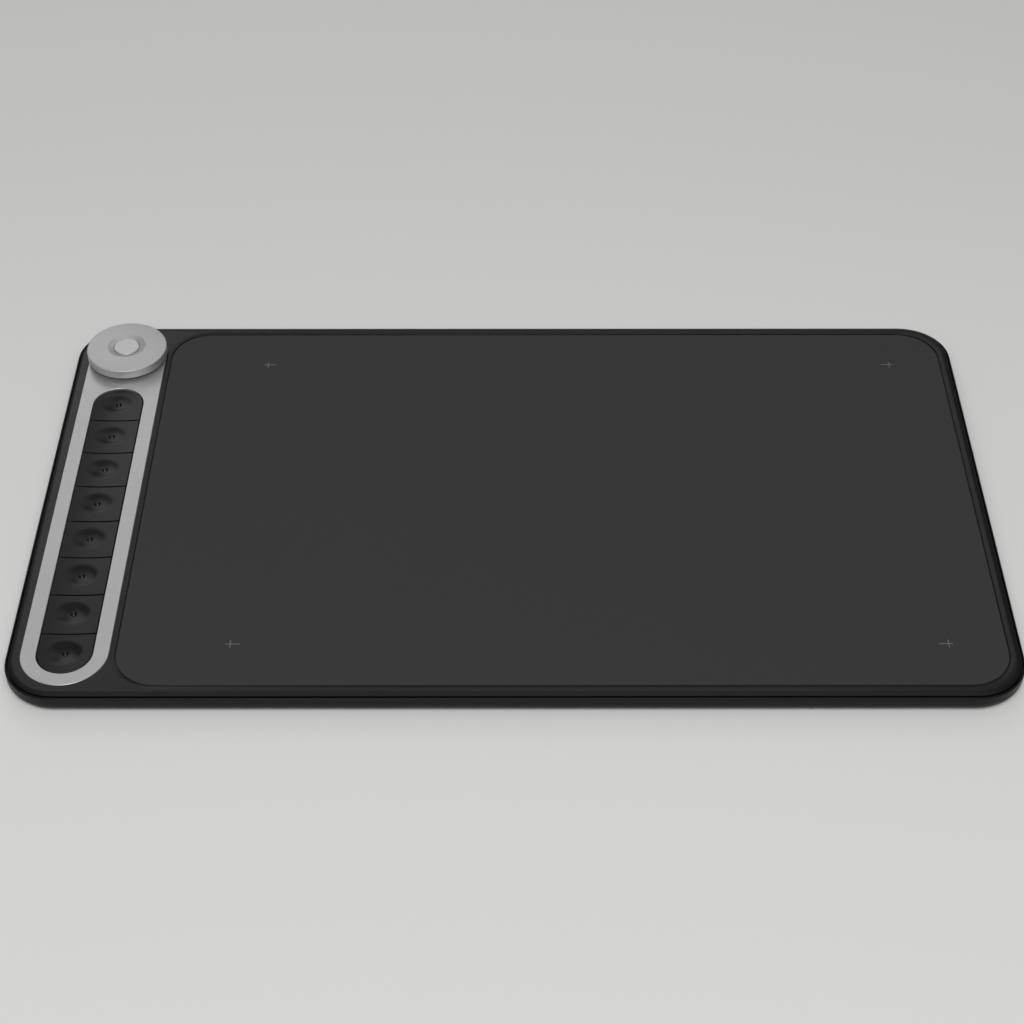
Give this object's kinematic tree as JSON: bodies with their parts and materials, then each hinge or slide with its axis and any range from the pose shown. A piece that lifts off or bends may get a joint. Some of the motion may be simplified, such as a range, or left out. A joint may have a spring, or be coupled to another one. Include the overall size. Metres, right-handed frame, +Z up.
{
  "type": "graphics tablet",
  "caption": "Thin flat graphics tablet with a matte drawing sheet, a silver strip of hollowed express keys at the left, and a turning dial with a push button behind them.",
  "frame": {"origin": "on the desk, under the middle of the case, level with the underside of the feet", "axes": "+X to the right along the long side, +Y away from the user, +Z up from the desk"},
  "size_m": [0.3762, 0.2204, 0.0154],
  "materials": {
    "shell_plastic": "satin",
    "cover_plastic": "satin",
    "sheet_film": "fine matte",
    "silver_trim": "fine blasted",
    "silver_dial": "fine blasted",
    "key_plastic": "satin",
    "inner_plastic": "moulded",
    "plunger_plastic": "moulded",
    "steel": "turned",
    "screw_steel": "blackened",
    "board_green": "solder mask",
    "chip_black": "moulded",
    "shield_metal": "rolled",
    "light_clear": "frosted",
    "battery_foil": "foil",
    "foam": "foam",
    "lead_sleeve": "smooth",
    "cable_film": "film",
    "foot_rubber": "matte"
  },
  "bodies": {
    "case": {"bottom_cover": "shell_plastic", "top_cover": "cover_plastic", "drawing_sheet": "sheet_film", "key_trim": "silver_trim", "key_tray": "inner_plastic", "key_switches": "inner_plastic", "key_board": "board_green", "dial_bush": "plunger_plastic", "encoder_fork": "inner_plastic", "dial_switch": "inner_plastic", "sensor_board": "board_green", "shield_plate": "shield_metal", "main_board": "board_green", "main_chips": "chip_black", "usb_port": "steel", "usb_tongue": "chip_black", "power_switch": "inner_plastic", "status_lamp": "light_clear", "status_light": "light_clear", "battery": "battery_foil", "battery_pad": "foam", "battery_plug": "plunger_plastic", "battery_leads": "lead_sleeve", "cable_sockets": "plunger_plastic", "sensor_cable": "cable_film", "key_cable": "cable_film", "rubber_feet": "foot_rubber", "case_screws": "screw_steel", "tray_screws": "screw_steel", "main_screws": "screw_steel"},
    "dial": {"dial_knob": "silver_dial", "dial_shaft": "steel", "dial_ring": "steel", "encoder_wheel": "steel"},
    "dial_button": {"dial_button": "silver_dial", "dial_switch_stem": "plunger_plastic"},
    "key_1": {"key_1": "key_plastic", "key_stem_1": "plunger_plastic"},
    "key_2": {"key_2": "key_plastic", "key_stem_2": "plunger_plastic"},
    "key_3": {"key_3": "key_plastic", "key_stem_3": "plunger_plastic"},
    "key_4": {"key_4": "key_plastic", "key_stem_4": "plunger_plastic"},
    "key_5": {"key_5": "key_plastic", "key_stem_5": "plunger_plastic"},
    "key_6": {"key_6": "key_plastic", "key_stem_6": "plunger_plastic"},
    "key_7": {"key_7": "key_plastic", "key_stem_7": "plunger_plastic"},
    "key_8": {"key_8": "key_plastic", "key_stem_8": "plunger_plastic"},
    "power_slider": {"power_slider": "key_plastic"}
  },
  "joints": [
    {"name": "dial_spin", "type": "hinge", "parent": "case", "child": "dial", "pos_m": [-0.1664, 0.0888, 0.009], "axis": [0, 0, 1], "continuous": true},
    {"name": "dial_button_press", "type": "slide", "parent": "case", "child": "dial_button", "axis": [0, 0, -1], "range_m": [0, 0.0005], "stiffness_N_per_m": 800, "springref_m": -0.0005},
    {"name": "key_1_press", "type": "slide", "parent": "case", "child": "key_1", "axis": [0, 0, -1], "range_m": [0, 0.0006], "stiffness_N_per_m": 600, "springref_m": -0.0006},
    {"name": "key_2_press", "type": "slide", "parent": "case", "child": "key_2", "axis": [0, 0, -1], "range_m": [0, 0.0006], "stiffness_N_per_m": 600, "springref_m": -0.0006},
    {"name": "key_3_press", "type": "slide", "parent": "case", "child": "key_3", "axis": [0, 0, -1], "range_m": [0, 0.0006], "stiffness_N_per_m": 600, "springref_m": -0.0006},
    {"name": "key_4_press", "type": "slide", "parent": "case", "child": "key_4", "axis": [0, 0, -1], "range_m": [0, 0.0006], "stiffness_N_per_m": 600, "springref_m": -0.0006},
    {"name": "key_5_press", "type": "slide", "parent": "case", "child": "key_5", "axis": [0, 0, -1], "range_m": [0, 0.0006], "stiffness_N_per_m": 600, "springref_m": -0.0006},
    {"name": "key_6_press", "type": "slide", "parent": "case", "child": "key_6", "axis": [0, 0, -1], "range_m": [0, 0.0006], "stiffness_N_per_m": 600, "springref_m": -0.0006},
    {"name": "key_7_press", "type": "slide", "parent": "case", "child": "key_7", "axis": [0, 0, -1], "range_m": [0, 0.0006], "stiffness_N_per_m": 600, "springref_m": -0.0006},
    {"name": "key_8_press", "type": "slide", "parent": "case", "child": "key_8", "axis": [0, 0, -1], "range_m": [0, 0.0006], "stiffness_N_per_m": 600, "springref_m": -0.0006},
    {"name": "power_slide", "type": "slide", "parent": "case", "child": "power_slider", "axis": [1, 0, 0], "range_m": [0, 0.002]}
  ]
}
